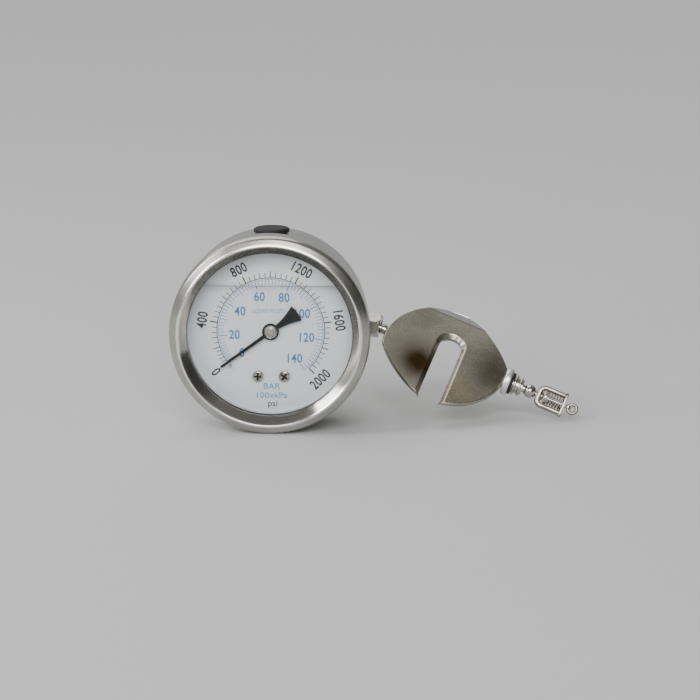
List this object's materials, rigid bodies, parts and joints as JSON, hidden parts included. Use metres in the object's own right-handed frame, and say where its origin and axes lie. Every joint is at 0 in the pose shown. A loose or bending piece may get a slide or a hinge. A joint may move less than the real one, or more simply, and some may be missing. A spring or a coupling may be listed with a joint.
{
  "type": "liquid-filled pressure gauge",
  "caption": "Round dial pressure gauge with centre-back stem, geared Bourdon movement, and a swivelling tail with slotted disc, sprung plunger yoke and pull ring.",
  "frame": {"origin": "middle of the pipe thread on the back stem, on the gauge's axis", "axes": "+Y along the stem, away from the case, so the dial faces -Y; +Z towards twelve o'clock; +X to three o'clock"},
  "size_m": [0.1419, 0.058, 0.0695],
  "materials": {
    "case_steel": "satin",
    "bezel_steel": "polished with a brushed outer band",
    "window_glass": "clear",
    "black_rubber": "matte",
    "spacer_grey": "satin",
    "dial_white": "matte white print",
    "nickel_screws": "bright",
    "brass": "machined",
    "bronze_tube": "drawn",
    "arbor_steel": "turned",
    "pointer_black": "satin black",
    "hub_nickel": "satin",
    "nickel": "bright nickel plate",
    "satin_nickel": "satin nickel plate",
    "spring_steel": "drawn wire"
  },
  "bodies": {
    "gauge": {"case": "case_steel", "bezel_ring": "bezel_steel", "window": "window_glass", "window_gasket": "black_rubber", "spacer_ring": "spacer_grey", "dial": "dial_white", "dial_screws": "nickel_screws", "dial_posts": "brass", "stop_pin": "nickel_screws", "fill_plug": "black_rubber", "back_socket": "brass", "socket_screws": "nickel_screws", "stem_seal": "black_rubber", "restrictor": "brass", "bourdon_tube": "bronze_tube", "back_plate": "brass", "front_plate": "brass", "plate_pillars": "brass", "plate_screws": "nickel_screws", "hairspring": "bronze_tube", "spring_stud": "brass", "stem_collar": "nickel", "collar_screw": "nickel_screws", "swivel_nut": "nickel"},
    "sector": {"sector_gear": "brass", "sector_shaft": "arbor_steel"},
    "pointer": {"pinion": "arbor_steel", "pointer": "pointer_black", "pointer_hub": "hub_nickel"},
    "link": {"link": "arbor_steel", "link_pin": "arbor_steel"},
    "tube_end": {"tube_tip": "brass"},
    "stud": {"ball_stud": "nickel"},
    "disc": {"slotted_disc": "satin_nickel", "neck_collar": "nickel", "groove_washer": "black_rubber", "neck_rings": "nickel", "neck_spindle": "nickel"},
    "yoke": {"yoke": "nickel", "cross_bar": "nickel", "yoke_spring": "spring_steel"},
    "plunger": {"plunger": "nickel"},
    "pull_ring": {"end_ring": "nickel"}
  },
  "joints": [
    {"name": "sector_swing", "type": "hinge", "parent": "gauge", "child": "sector", "pos_m": [0, -0.0359, -0.01083], "axis": [0, 1, 0], "range_deg": [-32.75, 0]},
    {"name": "pointer_turn", "type": "hinge", "parent": "gauge", "child": "pointer", "pos_m": [0, -0.0359, 0], "axis": [0, 1, 0], "range_deg": [0, 262], "deforming": ["hairspring"]},
    {"name": "link_swing", "type": "hinge", "parent": "sector", "child": "link", "pos_m": [0.0047, -0.035, -0.01254], "axis": [0, 1, 0], "range_deg": [0, 37.4]},
    {"name": "tube_flex", "type": "hinge", "parent": "gauge", "child": "tube_end", "pos_m": [-0.002, -0.02955, 0.008], "axis": [0, 1, 0], "range_deg": [-3.8, 0], "deforming": ["bourdon_tube"]},
    {"name": "tail_nod", "type": "hinge", "parent": "gauge", "child": "stud", "pos_m": [0.03493, -0.01295, -0.00349], "axis": [0.184, 0.9829, 0], "range_deg": [-21, 3]},
    {"name": "disc_spin", "type": "hinge", "parent": "stud", "child": "disc", "pos_m": [0.0386, -0.01364, -0.00491], "axis": [0.9189, -0.172, -0.3551], "continuous": true},
    {"name": "yoke_spin", "type": "hinge", "parent": "disc", "child": "yoke", "pos_m": [0.09373, -0.02396, -0.02621], "axis": [0.9189, -0.172, -0.3551], "continuous": true},
    {"name": "plunger_pull", "type": "slide", "parent": "yoke", "child": "plunger", "axis": [0.9189, -0.172, -0.3551], "range_m": [0, 0.0025], "stiffness_N_per_m": 400, "springref_m": -0.002, "deforming": ["yoke_spring"]},
    {"name": "ring_swing", "type": "hinge", "parent": "plunger", "child": "pull_ring", "pos_m": [0.10375, -0.02583, -0.03008], "axis": [0.3946, 0.4038, 0.8254], "range_deg": [-80, 80]}
  ],
  "couplings": [
    {"joint": "pointer_turn", "follows": "sector_swing", "ratio": -8},
    {"joint": "link_swing", "follows": "sector_swing", "ratio": -1.142},
    {"joint": "tube_flex", "follows": "sector_swing", "ratio": 0.1148}
  ]
}
